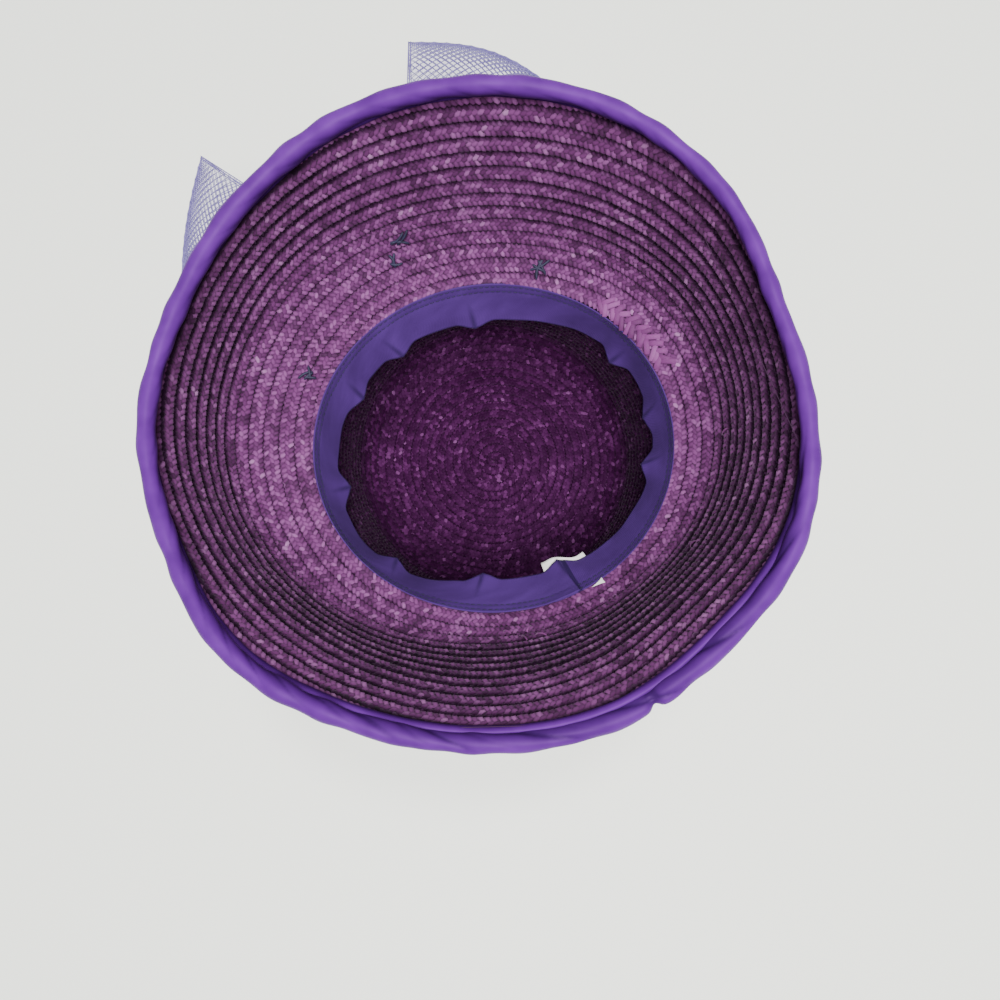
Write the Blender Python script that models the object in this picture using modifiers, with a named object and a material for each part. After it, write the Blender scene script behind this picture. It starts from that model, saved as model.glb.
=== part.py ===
"""Straw cloche hat, lying upside down on its crown. Metres, +Z up.

The origin is the centre of the flat outer crown tip, where the hat rests. +X is the wearer's side of the head
oval's long axis, and the bow of crin net is on the +Y, -X side. The brim's inside faces up and inwards.
"""

import math

import bmesh
import bpy
from mathutils import Vector

# Walls and clearances
STRAW_WALL = 0.0018
SATIN_WALL = 0.0005
RIBBON_WALL = 0.0008
LABEL_WALL = 0.0005
NET_WALL = 0.0010
CLEARANCE = 0.0003
BINDING_CLEARANCE = 0.0005

# Head opening: an oval, its girth measured inside the straw. HEAD_OVAL is its short axis over its long one.
HEAD_GIRTH = 0.572
HEAD_OVAL = 0.918
HEAD_TURN = math.radians(2.8)
HEAD_CENTRE = Vector((0.002, -0.004))

# Crown, from the flat tip to the head opening
CROWN_DEPTH = 0.098
TIP_FLAT_R = 0.062
TIP_CORNER_R = 0.024

# Brim: its width is measured along the plait, from the head opening to the edge
BRIM_WIDTH = 0.101
SHOULDER_DEG = 12.0
SHOULDER_EASE = 0.0062
FLARE_START = 0.066
FLARE_EASE = 0.0070

# Sections of the brim round the hat. width and shoulder are shares of BRIM_WIDTH, and the slopes are degrees
# above the head opening's plane.
BRIM_COLUMNS = ("direction", "width", "shoulder", "wall_deg", "flare_deg")
BRIM_SECTIONS = (
    (0.0, 0.980, 0.155, 82, 78),
    (22.5, 0.965, 0.170, 80, 83),
    (45.0, 0.985, 0.185, 78, 71),
    (67.5, 1.015, 0.160, 73, 67),
    (90.0, 1.020, 0.130, 68, 69),
    (112.5, 1.000, 0.220, 70, 70),
    (135.0, 0.970, 0.315, 72, 79),
    (157.5, 0.960, 0.330, 78, 81),
    (180.0, 0.980, 0.340, 84, 76),
    (202.5, 1.005, 0.280, 84, 76),
    (225.0, 1.050, 0.220, 85, 69),
    (247.5, 1.030, 0.140, 80, 71),
    (270.0, 1.005, 0.065, 75, 70),
    (292.5, 1.015, 0.075, 79, 66),
    (315.0, 1.030, 0.085, 83, 70),
    (337.5, 1.005, 0.120, 82, 72),
)

# Satin binding folded over the brim's edge, and the padded roll sewn to it. lean_deg is 0 where the roll sits on
# the edge, 90 where it lies wholly on the brim's outside, and below 0 where it leans over the inside.
BINDING_INSIDE = 0.0015
BINDING_OUTSIDE = 0.007
ROLL_R = 0.0037
ROLL_COLUMNS = ("direction", "radius", "lean_deg")
ROLL_SECTIONS = (
    (0, 0.92, -25),
    (45, 0.90, -30),
    (90, 1.00, -20),
    (135, 1.15, -5),
    (180, 0.98, -20),
    (225, 1.05, 15),
    (270, 1.02, 60),
    (315, 1.08, 65),
)

# Sweatband: a ribbon from the head opening down into the crown. lean is how far its free edge stands in from
# the crown's wall, as a share of its width.
BAND_WIDTH = 0.025
LEAN_COLUMNS = ("direction", "lean")
BAND_LEAN = (
    (0, 0.10),
    (45, 0.11),
    (90, 0.53),
    (135, 0.43),
    (180, 0.18),
    (225, 0.07),
    (270, 0.54),
    (315, 0.33),
)
# Folds of its free edge: depth is a share of BAND_WIDTH, and half_deg is half of the fold's width.
FOLD_COLUMNS = ("direction", "depth", "half_deg")
BAND_FOLDS = (
    (14, 0.16, 9),
    (41, 0.22, 8),
    (98, 0.12, 8),
    (130, 0.14, 8),
    (155, 0.15, 9),
    (195, 0.22, 9),
    (231, 0.18, 8),
    (266, 0.14, 8),
    (297, 0.16, 8),
    (354, 0.20, 8),
)

# Label behind the sweatband
LABEL_DIRECTION = 299.0
LABEL_WIDTH = 0.028
LABEL_TOP = 0.30
LABEL_END = 1.20

# Bow of two crin loops, one on each side of a knot. The angles are degrees from the knot. The corner is the
# fold's end nearer the knot, and end is its far end. How far these reach past the head's mean radius, and the
# fold's bulge, are shares of LOOP_LENGTH.
LOOP_LENGTH = 0.141
BOW_DIRECTION = 118.3
KNOT_WIDTH = 0.014
KNOT_LENGTH = 0.024
KNOT_HEIGHT = 0.009
KNOT_ARC = 0.022
FAR_FOOT_ARC = 0.010
FOLD_DROP = 0.010
LOOP_FULLNESS = 1.6
LOOP_THICK = 0.014
LOOP_FOOT_THICK = 0.004
LOOP_COLUMNS = ("name", "side", "foot_off", "corner_off", "corner_reach", "end_off", "end_reach", "bulge")
LOOPS = (
    ("bow_loop_a", -1, 42.0, 16.5, 1.01, 40.0, 0.76, 0.080),
    ("bow_loop_b", 1, 42.0, 16.5, 0.99, 39.0, 0.66, 0.030),
)

# How finely the faceted walls are cut. The shares are of the flat tip's radius and of the sweatband's width.
STATIONS = 64
BAND_STATIONS = 72
BRIM_RINGS = 12
TIP_SHARES = (0.45, 1.0)
CORNER_RINGS = 4
WALL_RINGS = 3
BAND_SHARES = (1.0, 0.7, 0.35, 0.0)
LABEL_ROWS = 5
LABEL_STEPS = 4
LOOP_STEPS = 8
PROFILE_STEP = 0.001


def read(rows, columns, name):
    """(direction, value) pairs of one named column."""
    place = columns.index(name)
    return [(row[0], row[place]) for row in rows]


def round_the_hat(pairs, direction):
    """A smooth value at a direction in degrees, through evenly spaced (direction, value) pairs."""
    count = len(pairs)
    step = 360.0 / count
    position = (direction % 360.0) / step
    first = int(position) % count
    t = position - int(position)
    before, start, end, after = (pairs[(first + k) % count][1] for k in (-1, 0, 1, 2))
    rise_in = (end - before) / 2
    rise_out = (after - start) / 2
    return (
        start * (2 * t**3 - 3 * t**2 + 1)
        + rise_in * (t**3 - 2 * t**2 + t)
        + end * (3 * t**2 - 2 * t**3)
        + rise_out * (t**3 - t**2)
    )


def ease(x):
    """0 far below zero, 1 far above it, and smooth between."""
    return 1 / (1 + math.exp(-x))


def mix(a, b, t):
    return a + (b - a) * t


HEAD_MEAN_R = HEAD_GIRTH / (2 * math.pi)
HEAD_LONG_R = 2 * HEAD_MEAN_R / (1 + HEAD_OVAL)
HEAD_SHORT_R = 2 * HEAD_MEAN_R - HEAD_LONG_R
OPENING_Z = CROWN_DEPTH
CROWN_TOP = OPENING_Z - STRAW_WALL - CLEARANCE


def oval(direction, outward):
    """A point of the head oval, moved out along its normal, and that normal."""
    angle = math.radians(direction) - HEAD_TURN
    x, y = HEAD_LONG_R * math.cos(angle), HEAD_SHORT_R * math.sin(angle)
    normal = Vector((math.cos(angle) / HEAD_LONG_R, math.sin(angle) / HEAD_SHORT_R)).normalized()
    point = Vector((x, y)) + normal * outward
    turn = math.cos(HEAD_TURN), math.sin(HEAD_TURN)
    point = Vector((point.x * turn[0] - point.y * turn[1], point.x * turn[1] + point.y * turn[0]))
    normal = Vector((normal.x * turn[0] - normal.y * turn[1], normal.x * turn[1] + normal.y * turn[0]))
    return point + HEAD_CENTRE, normal


def brim_value(name, direction):
    return round_the_hat(read(BRIM_SECTIONS, BRIM_COLUMNS, name), direction)


def brim_width(direction):
    return BRIM_WIDTH * brim_value("width", direction)


def brim_slope(direction, arc):
    """The brim's slope, in radians, at a distance along it from the head opening."""
    shoulder = BRIM_WIDTH * brim_value("shoulder", direction)
    wall = brim_value("wall_deg", direction)
    flare = brim_value("flare_deg", direction)
    turned_up = ease((arc - shoulder) / SHOULDER_EASE)
    flared = ease((arc - FLARE_START) / FLARE_EASE)
    return math.radians(SHOULDER_DEG + (wall - SHOULDER_DEG) * turned_up + (flare - wall) * flared)


def brim_point(direction, arc, lift=0.0):
    """A point on the brim's inside, or lifted off it: above zero towards the inside, below zero through the wall."""
    steps = max(1, round(abs(arc) / PROFILE_STEP))
    step = arc / steps
    out = 0.0
    up = 0.0
    for k in range(steps):
        slope = brim_slope(direction, (k + 0.5) * step)
        out += step * math.cos(slope)
        up += step * math.sin(slope)
    slope = brim_slope(direction, arc)
    point, normal = oval(direction, out - lift * math.sin(slope))
    return Vector((point.x, point.y, OPENING_Z + up + lift * math.cos(slope)))


def brim_edge_frame(direction):
    """The middle of the brim's edge, the way on past the edge, and the way to the brim's outside."""
    width = brim_width(direction)
    middle = brim_point(direction, width, -STRAW_WALL / 2)
    slope = brim_slope(direction, width)
    _, normal = oval(direction, 0.0)
    onward = Vector((normal.x * math.cos(slope), normal.y * math.cos(slope), math.sin(slope)))
    outside = Vector((normal.x * math.sin(slope), normal.y * math.sin(slope), -math.cos(slope)))
    return middle, onward, outside


def directions(count):
    return [360.0 * k / count for k in range(count)]


def material(name, colour, roughness):
    made = bpy.data.materials.new(name)
    made.use_nodes = True
    shader = made.node_tree.nodes["Principled BSDF"]
    shader.inputs["Base Color"].default_value = (*colour, 1.0)
    shader.inputs["Roughness"].default_value = roughness
    shader.inputs["Metallic"].default_value = 0.0
    return made


def clear_scene():
    for old in list(bpy.data.objects):
        bpy.data.objects.remove(old)


def new_object(name, mesh, finish):
    made = bpy.data.objects.new(name, mesh)
    made.data.materials.append(finish)
    bpy.data.collections["straw_cloche_hat"].objects.link(made)
    made.parent = bpy.data.objects["hat_origin"]
    return made


def loft(name, rows, wraps, finish, tip=None):
    """A sheet through rows of points. A closed one wraps round, and a tip point closes its first row."""
    shape = bmesh.new()
    lines = [[shape.verts.new(point) for point in row] for row in rows]
    columns = len(rows[0])
    for low, high in zip(lines, lines[1:]):
        for i in range(columns if wraps else columns - 1):
            j = (i + 1) % columns
            shape.faces.new((low[i], low[j], high[j], high[i]))
    if tip is not None:
        centre = shape.verts.new(tip)
        for i in range(columns):
            shape.faces.new((lines[0][(i + 1) % columns], lines[0][i], centre))
    mesh = bpy.data.meshes.new(name)
    shape.to_mesh(mesh)
    shape.free()
    mesh.shade_smooth()
    return new_object(name, mesh, finish)


def thicken(made, wall, side):
    """Gives a sheet its wall: side is 1 along its normals, -1 against them and 0 both ways."""
    solidify = made.modifiers.new("wall", "SOLIDIFY")
    solidify.thickness = wall
    solidify.offset = side
    solidify.use_even_offset = True
    return made


def crown_ring(z, radius, share):
    """One ring of the crown's inside, between a circle at the tip and the head oval at the opening."""
    ring = []
    for direction in directions(STATIONS):
        angle = math.radians(direction)
        circle = Vector((radius * math.cos(angle), radius * math.sin(angle)))
        point = circle.lerp(oval(direction, 0.0)[0], share)
        ring.append((point.x, point.y, z))
    return ring


def make_crown(straw):
    inner_corner = TIP_CORNER_R - STRAW_WALL
    rings = [crown_ring(STRAW_WALL, TIP_FLAT_R * share, 0.0) for share in TIP_SHARES]
    for k in range(1, CORNER_RINGS + 1):
        turn = math.pi / 2 * k / CORNER_RINGS
        radius = TIP_FLAT_R + inner_corner * math.sin(turn)
        rings.append(crown_ring(TIP_CORNER_R - inner_corner * math.cos(turn), radius, 0.0))
    for k in range(1, WALL_RINGS + 1):
        share = k / WALL_RINGS
        rings.append(crown_ring(mix(TIP_CORNER_R, CROWN_TOP, share), TIP_FLAT_R + inner_corner, share))
    return thicken(loft("crown", rings, True, straw, (0, 0, STRAW_WALL)), STRAW_WALL, 1)


def make_brim(straw):
    rings = []
    for k in range(BRIM_RINGS):
        share = k / (BRIM_RINGS - 1)
        rings.append([brim_point(d, brim_width(d) * share) for d in directions(STATIONS)])
    return thicken(loft("brim", rings, True, straw), STRAW_WALL, 1)


def make_binding(satin):
    """A sheet folded over the edge: down the inside, round the edge and down the outside."""
    half = STRAW_WALL / 2 + BINDING_CLEARANCE
    rings = [[brim_point(d, brim_width(d) - BINDING_INSIDE, BINDING_CLEARANCE) for d in directions(STATIONS)]]
    for turn_deg in (-90, -30, 30, 90):
        turn = math.radians(turn_deg)
        ring = []
        for direction in directions(STATIONS):
            middle, onward, outside = brim_edge_frame(direction)
            ring.append(middle + onward * half * math.cos(turn) + outside * half * math.sin(turn))
        rings.append(ring)
    for share in (0.5, 1.0):
        lift = -STRAW_WALL - BINDING_CLEARANCE
        ring = [brim_point(d, brim_width(d) - BINDING_OUTSIDE * share, lift) for d in directions(STATIONS)]
        rings.append(ring)
    return thicken(loft("edge_binding", rings, True, satin), SATIN_WALL, -1)


def make_roll(satin):
    """A closed tube that follows the bound edge."""
    curve = bpy.data.curves.new("edge_roll", "CURVE")
    curve.dimensions = "3D"
    curve.bevel_depth = ROLL_R
    curve.bevel_resolution = 2
    spline = curve.splines.new("POLY")
    spline.points.add(STATIONS - 1)
    spline.use_cyclic_u = True
    binding_half = STRAW_WALL / 2 + BINDING_CLEARANCE + SATIN_WALL
    for direction, point in zip(directions(STATIONS), spline.points):
        radius = round_the_hat(read(ROLL_SECTIONS, ROLL_COLUMNS, "radius"), direction)
        lean = math.radians(round_the_hat(read(ROLL_SECTIONS, ROLL_COLUMNS, "lean_deg"), direction))
        middle, onward, outside = brim_edge_frame(direction)
        away = binding_half + CLEARANCE + ROLL_R * radius
        centre = middle + (onward * math.cos(lean) + outside * math.sin(lean)) * away
        point.co = (*centre, 1.0)
        point.radius = radius
    return new_object("edge_roll", curve, satin)


def band_fold(direction):
    """How far the free edge is folded in at this direction, as a share of the ribbon's width."""
    inward = 0.0
    for row in BAND_FOLDS:
        fold = dict(zip(FOLD_COLUMNS, row))
        off = (direction - fold["direction"] + 180.0) % 360.0 - 180.0
        if abs(off) < fold["half_deg"]:
            inward += fold["depth"] * (1 + math.cos(math.pi * off / fold["half_deg"])) / 2
    return inward


def crown_lean(direction):
    """How far the crown's wall leans in beside the sweatband, from its stitched edge to its free edge."""
    angle = math.radians(direction)
    circle = (TIP_FLAT_R + TIP_CORNER_R - STRAW_WALL) * Vector((math.cos(angle), math.sin(angle)))
    point, normal = oval(direction, 0.0)
    return (point - circle).dot(normal) * BAND_WIDTH / (CROWN_TOP - TIP_CORNER_R)


def band_point(direction, down, lift=0.0):
    """A point on the sweatband's inner face: down is 0 at the stitched edge and 1 at the free edge."""
    lean = crown_lean(direction) + BAND_WIDTH * round_the_hat(read(BAND_LEAN, LEAN_COLUMNS, "lean"), direction)
    fold = BAND_WIDTH * band_fold(direction)
    drop = math.sqrt(max(BAND_WIDTH**2 - lean**2, 0.0))
    inset = CLEARANCE + RIBBON_WALL + lean * down + fold * down**2
    tilt = math.atan2(lean, drop)
    point, _ = oval(direction, -inset - lift * math.cos(tilt))
    return Vector((point.x, point.y, OPENING_Z - drop * down + lift * math.sin(tilt)))


def make_sweatband(ribbon):
    rings = [[band_point(d, down) for d in directions(BAND_STATIONS)] for down in BAND_SHARES]
    return thicken(loft("sweatband", rings, True, ribbon), RIBBON_WALL, 1)


def make_label(tape):
    """A small tape behind the sweatband, whose end shows past the free edge."""
    behind = -RIBBON_WALL - 2 * CLEARANCE
    half_deg = math.degrees(LABEL_WIDTH / 2 / HEAD_MEAN_R)
    rows = []
    shares = [2 * i / LABEL_STEPS - 1 for i in range(LABEL_STEPS + 1)]
    places = [LABEL_DIRECTION + half_deg * share for share in shares]
    for k in range(LABEL_ROWS + 1):
        down = mix(LABEL_TOP, LABEL_END, k / LABEL_ROWS)
        rows.append([band_point(place, down, behind) for place in places])
    return thicken(loft("label", rows, False, tape), LABEL_WALL, -1)


def loop_corner(loop, end):
    """A corner of a loop's fold: end is "corner" for the one nearer the knot and "end" for the far one."""
    angle = math.radians(BOW_DIRECTION + loop["side"] * loop[end + "_off"])
    radius = HEAD_MEAN_R + LOOP_LENGTH * loop[end + "_reach"]
    point = HEAD_CENTRE + radius * Vector((math.cos(angle), math.sin(angle)))
    return Vector((point.x, point.y, OPENING_Z - FOLD_DROP))


def loop_lines(loop):
    """The foot and the fold of one crin loop, each from its end by the knot to its far end."""
    side = loop["side"]
    under = -STRAW_WALL - CLEARANCE - NET_WALL
    knot_off = math.degrees((KNOT_WIDTH / 2 + 2 * CLEARANCE) / (HEAD_MEAN_R + KNOT_ARC))
    near = loop_corner(loop, "corner")
    far = loop_corner(loop, "end")
    out = (far - near).cross(Vector((0, 0, side))).normalized()
    foot = []
    fold = []
    for k in range(LOOP_STEPS + 1):
        share = k / LOOP_STEPS
        direction = BOW_DIRECTION + side * mix(knot_off, loop["foot_off"], share)
        foot.append(brim_point(direction, mix(KNOT_ARC, FAR_FOOT_ARC, share), under))
        bulge = LOOP_LENGTH * loop["bulge"] * math.sin(math.pi * share)
        fold.append(near.lerp(far, share) + out * bulge)
    return foot, fold


def make_loop(loop, net):
    """A wide ribbon from the brim out to the fold and back under itself."""
    foot, fold = loop_lines(loop)
    rows = []
    for k in range(2 * LOOP_STEPS + 1):
        along = k / LOOP_STEPS - 1
        share = 1 - abs(along) ** LOOP_FULLNESS
        row = []
        for near, far in zip(foot, fold):
            point = near.lerp(far, share)
            if along > 0:
                point.z -= mix(LOOP_FOOT_THICK, LOOP_THICK, math.sin(math.pi * share)) * min(1.0, 2 * along)
            row.append(point)
        rows.append(row)
    if loop["side"] > 0:
        rows = [row[::-1] for row in rows]
    return thicken(loft(loop["name"], rows, False, net), NET_WALL, 0)


def make_knot(net):
    """A small rounded wrap between the two loops, seated on the brim's outside."""
    shape = bmesh.new()
    bmesh.ops.create_cube(shape, size=1.0)
    bmesh.ops.subdivide_edges(shape, edges=shape.edges, cuts=2, use_grid_fill=True)
    seat = brim_point(BOW_DIRECTION, KNOT_ARC, -STRAW_WALL - CLEARANCE)
    slope = brim_slope(BOW_DIRECTION, KNOT_ARC)
    _, normal = oval(BOW_DIRECTION, 0.0)
    along = Vector((normal.x * math.cos(slope), normal.y * math.cos(slope), math.sin(slope)))
    outside = Vector((normal.x * math.sin(slope), normal.y * math.sin(slope), -math.cos(slope)))
    across = along.cross(outside)
    for vertex in shape.verts:
        x, y, z = vertex.co
        off = across * x * KNOT_WIDTH + along * y * KNOT_LENGTH + outside * (z + 0.5) * KNOT_HEIGHT
        vertex.co = seat + off
    mesh = bpy.data.meshes.new("bow_knot")
    bmesh.ops.recalc_face_normals(shape, faces=shape.faces)
    shape.to_mesh(mesh)
    shape.free()
    mesh.shade_smooth()
    made = new_object("bow_knot", mesh, net)
    rounding = made.modifiers.new("rounding", "SUBSURF")
    rounding.levels = 1
    rounding.render_levels = 1
    return made


def main():
    clear_scene()
    collection = bpy.data.collections.new("straw_cloche_hat")
    bpy.context.scene.collection.children.link(collection)
    collection.objects.link(bpy.data.objects.new("hat_origin", None))
    straw = material("purple_straw", (0.13, 0.03, 0.15), 0.45)
    satin = material("violet_satin", (0.20, 0.05, 0.50), 0.30)
    ribbon = material("sweatband_ribbon", (0.08, 0.04, 0.28), 0.70)
    tape = material("white_tape", (0.75, 0.75, 0.72), 0.80)
    net = material("crin_net", (0.45, 0.40, 0.62), 0.50)
    make_crown(straw)
    make_brim(straw)
    make_binding(satin)
    make_roll(satin)
    make_sweatband(ribbon)
    make_label(tape)
    for row in LOOPS:
        make_loop(dict(zip(LOOP_COLUMNS, row)), net)
    make_knot(net)


main()
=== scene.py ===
"""Looks of the straw cloche hat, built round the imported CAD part. Metres, in the row frame, +Z up.

The hat lies upside down on its crown, so the brim's inside faces up. Directions are degrees from +X.
"""

import math

import bpy
import numpy as np
from mathutils import Matrix, Vector


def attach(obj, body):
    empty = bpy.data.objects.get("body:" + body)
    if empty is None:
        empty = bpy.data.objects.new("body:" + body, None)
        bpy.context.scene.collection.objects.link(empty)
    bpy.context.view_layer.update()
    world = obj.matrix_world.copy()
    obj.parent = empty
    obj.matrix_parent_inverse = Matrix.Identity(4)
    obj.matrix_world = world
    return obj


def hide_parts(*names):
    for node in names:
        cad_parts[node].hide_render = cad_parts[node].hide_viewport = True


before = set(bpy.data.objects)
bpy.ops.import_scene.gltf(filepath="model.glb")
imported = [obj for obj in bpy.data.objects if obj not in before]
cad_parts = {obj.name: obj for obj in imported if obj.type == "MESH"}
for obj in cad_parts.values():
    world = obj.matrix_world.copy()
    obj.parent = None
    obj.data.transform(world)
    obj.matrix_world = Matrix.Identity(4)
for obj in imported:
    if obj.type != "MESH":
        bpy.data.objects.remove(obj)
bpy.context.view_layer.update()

RANDOM = np.random.default_rng(7)

# The CAD part's own sizes, as part.py has them
STRAW_WALL = 0.0018
CLEARANCE = 0.0003
HEAD_GIRTH = 0.572
HEAD_OVAL = 0.918
HEAD_TURN = math.radians(2.8)
HEAD_CENTRE = np.array((0.002, -0.004))
OPENING_Z = 0.098
TIP_FLAT_R = 0.062
TIP_CORNER_R = 0.024
BRIM_WIDTH = 0.101
SHOULDER_DEG = 12.0
SHOULDER_EASE = 0.0062
FLARE_START = 0.066
FLARE_EASE = 0.0070
BRIM_COLUMNS = ("direction", "width", "shoulder", "wall_deg", "flare_deg")
BRIM_SECTIONS = (
    (0.0, 0.980, 0.155, 82, 78),
    (22.5, 0.965, 0.170, 80, 83),
    (45.0, 0.985, 0.185, 78, 71),
    (67.5, 1.015, 0.160, 73, 67),
    (90.0, 1.020, 0.130, 68, 69),
    (112.5, 1.000, 0.220, 70, 70),
    (135.0, 0.970, 0.315, 72, 79),
    (157.5, 0.960, 0.330, 78, 81),
    (180.0, 0.980, 0.340, 84, 76),
    (202.5, 1.005, 0.280, 84, 76),
    (225.0, 1.050, 0.220, 85, 69),
    (247.5, 1.030, 0.140, 80, 71),
    (270.0, 1.005, 0.065, 75, 70),
    (292.5, 1.015, 0.075, 79, 66),
    (315.0, 1.030, 0.085, 83, 70),
    (337.5, 1.005, 0.120, 82, 72),
)
BINDING_INSIDE = 0.0015
BINDING_OUTSIDE = 0.007
ROLL_R = 0.0037
ROLL_COLUMNS = ("direction", "radius", "lean_deg")
ROLL_SECTIONS = (
    (0, 0.92, -25),
    (45, 0.90, -30),
    (90, 1.00, -20),
    (135, 1.15, -5),
    (180, 0.98, -20),
    (225, 1.05, 15),
    (270, 1.02, 60),
    (315, 1.08, 65),
)
BAND_WIDTH = 0.025
RIBBON_WALL = 0.0008
BAND_COLUMNS = ("direction", "lean")
BAND_LEAN = (
    (0, 0.10), (45, 0.11), (90, 0.53), (135, 0.43), (180, 0.18), (225, 0.07), (270, 0.54), (315, 0.33),
)
FOLD_COLUMNS = ("direction", "depth", "half_deg")
BAND_FOLDS = (
    (14, 0.16, 9),
    (41, 0.22, 8),
    (98, 0.12, 8),
    (130, 0.14, 8),
    (155, 0.15, 9),
    (195, 0.22, 9),
    (231, 0.18, 8),
    (266, 0.14, 8),
    (297, 0.16, 8),
    (354, 0.20, 8),
)

# How finely the straw surfaces are read
DIRECTION_STEP = 1.5
ARC_STEP = 0.001

# Plait: pitch is from row to row, width is the whole plait's, with what the next row covers, and step is
# from strand to strand along it. inner and outer are the heights of its edges, and outside_in is how far its
# outside is pressed into the wall. shade is how much further painted shade reaches on a row of an
# upright wall, under the next row, and depth is how dark that painted shade gets.
BRIM_PLAIT = {
    "pitch": 0.00778, "width": 0.0087, "columns": 4, "step": 0.0026, "bulge": 0.00045,
    "inner": 0.0014, "outer": -0.0012, "outside_in": 0.0006, "shade": 0.95, "depth": 1.0,
}
CROWN_PLAIT = {
    "pitch": 0.0055, "width": 0.0063, "columns": 3, "step": 0.0024, "bulge": 0.00040,
    "inner": 0.0006, "outer": -0.0006, "outside_in": 0.0012, "shade": 0.20, "depth": 0.62,
}
STRAND_SLANT_DEG = 45.0
STRAND_LENGTH = 0.0036
STRAND_WIDTH = 0.0021
# How far a strand's slant, size, place and height stray from the even ones
STRAND_SPREAD = {"slant_deg": 4.0, "size": 0.06, "place": 0.00012, "height": 0.00009}
DYE_SPREAD = (2.2, 2.6)
ROW_EDGE_FALL = 0.0006
CORE_UNDER = 0.0005
CORE_DEPTH = 0.0004
DEEPEST_STRAND = -0.6 * STRAW_WALL
# How far the brim's spiral strays from an even one at the head opening, in rows, from +X round
ROW_WANDER = (-0.45, -0.05, -0.33, -0.43, -0.60, -0.72, -0.42, -0.58)
BRAID_END_DEG = 45.0
# Painted shade between the rows: the side where it is darkest, how much darker, and the outside's share
SHADED_SIDE_DEG = 282.0
SHADED_SIDE_EXTRA_SHADE = 0.5
OUTSIDE_PAINTED_SHADE = 0.35
# Painted shade at each strand's edges, in the gaps between the strands
STRAND_EDGE_PAINTED_SHADE = 0.55
FIRST_ROW = -0.31

# The binding: how uneven it is, how far it stands over the straw, and how much painted shade each of its
# rows gets, from its inner edge round to its outer one
BINDING_UNEVEN = 0.0003
BINDING_OVER_EDGE = 0.00035
BINDING_OVER_OUTSIDE = 0.0010
BINDING_PAINTED_SHADES = (0.90, 0.81, 0.54, 0.27, 0.45, 0.90, 0.90, 0.90, 0.54, 0.27, 0.0)

# The satin roll: its seat on the edge, swells, pinched seam and folds, as shares of its radius
ROLL_SEAT = 0.86
ROLL_SWELL = 0.13
ROLL_UNEVEN = 0.04
ROLL_PINCH = 0.30
ROLL_PINCH_HALF_DEG = 0.9
ROLL_FOLD_DEPTH = 0.17
ROLL_FOLD_WANDER = 0.006
# Its twist: how many folds run round it and how far one goes in a whole turn
FINE_TWIST = {"folds": 4, "lead": 0.068}
LONG_TWIST = {"folds": 2, "lead": 0.078}
# The long twist's share of the folds, from +X round
LONG_TWIST_SHARES = (0.6, 0.1, 0.0, 0.0, 0.0, 0.3, 0.7, 1.0)
ROLL_SEAM_DEG = 299.0
# The side of the roll's section where its folds run deepest and its painted shade lies
ROLL_CREASED_DEG = 215.0
# Where the bound edge stands clear of the roll: its painted shade is lighter there, as painted light
PAINTED_LIGHT_LIP_DEG = 290.0
PAINTED_LIGHT_LIP_HALF_DEG = 50.0

# The sweatband's seam, the label behind it, and its two rows of stitches
BAND_SEAM_DEG = 299.0
LABEL_DIRECTION = 299.0
LABEL_WIDTH = 0.028
LABEL_END = 1.20
TAPE_WALL = 0.0003
SEAM_SLANT_DEG = 2.0
STITCH_ROWS = (0.07, 0.20)
STITCH_PITCH = 0.0030
STITCH_R = 0.00017
STITCH_DENT = 0.00035
STITCH_SHADE = 0.315
RIB_PITCH = 0.0009
RIBBON_SHEET = 0.0005
BAND_SLACK = 0.0005
CREASE_LIFT = 0.0007
CREASE_HALF_DEG = 0.8

# The net bow, as part.py has it
LOOP_LENGTH = 0.141
BOW_DIRECTION = 118.3
KNOT_WIDTH = 0.014
KNOT_LENGTH = 0.024
KNOT_HEIGHT = 0.009
KNOT_ARC = 0.022
KNOT_SQUARE = 0.62
FAR_FOOT_ARC = 0.010
FOLD_DROP = 0.010
LOOP_FULLNESS = 1.6
LOOP_THICK = 0.014
LOOP_FOOT_THICK = 0.004
NET_WALL = 0.0010
LOOP_COLUMNS = ("name", "side", "foot_off", "corner_off", "corner_reach", "end_off", "end_reach", "bulge")
LOOPS = (
    ("bow_loop_a", -1, 42, 16.5, 1.01, 40, 0.76, 0.080),
    ("bow_loop_b", 1, 42, 16.5, 0.99, 39, 0.66, 0.030),
)
NET_MESH = 0.0030
NET_STRAND_R = 0.00027
NET_CORD_R = 0.00028
LOOP_PLEATS = 7
LOOP_PLEAT_DEPTH = 0.0011


def smooth_round(values, direction):
    """Reads evenly spaced values round the hat at any direction, on a smooth closed curve."""
    values = np.asarray(values, float)
    position = np.mod(direction, 360.0) * len(values) / 360.0
    first = np.floor(position).astype(int)
    t = position - first
    before, start, end, after = (values[(first + k) % len(values)] for k in (-1, 0, 1, 2))
    rise_in = (end - before) / 2
    rise_out = (after - start) / 2
    return (
        start * (2 * t**3 - 3 * t**2 + 1)
        + rise_in * (t**3 - 2 * t**2 + t)
        + end * (3 * t**2 - 2 * t**3)
        + rise_out * (t**3 - t**2)
    )


def read_round(rows, columns, name, direction):
    """Reads one column of a table of even directions, at any direction."""
    place = columns.index(name)
    return smooth_round([row[place] for row in rows], direction)


def table(columns, rows):
    return [dict(zip(columns, row)) for row in rows]


def clamp(x):
    """x, held between 0 and 1."""
    return np.clip(x, 0.0, 1.0)


def ease(x):
    """0 far below zero, 1 far above it, and smooth between."""
    return 1 / (1 + np.exp(-x))


def unit(vectors):
    """Vectors made one long."""
    return vectors / np.maximum(np.linalg.norm(vectors, axis=-1, keepdims=True), 1e-12)


def distances(points, axis):
    """How far each point of a line or grid is from the first one, along one of its axes."""
    gaps = np.linalg.norm(np.diff(points, axis=axis), axis=-1)
    start = 0 * points.take([0], axis)[..., 0]
    return np.cumsum(np.concatenate((start, gaps), axis), axis)


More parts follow.
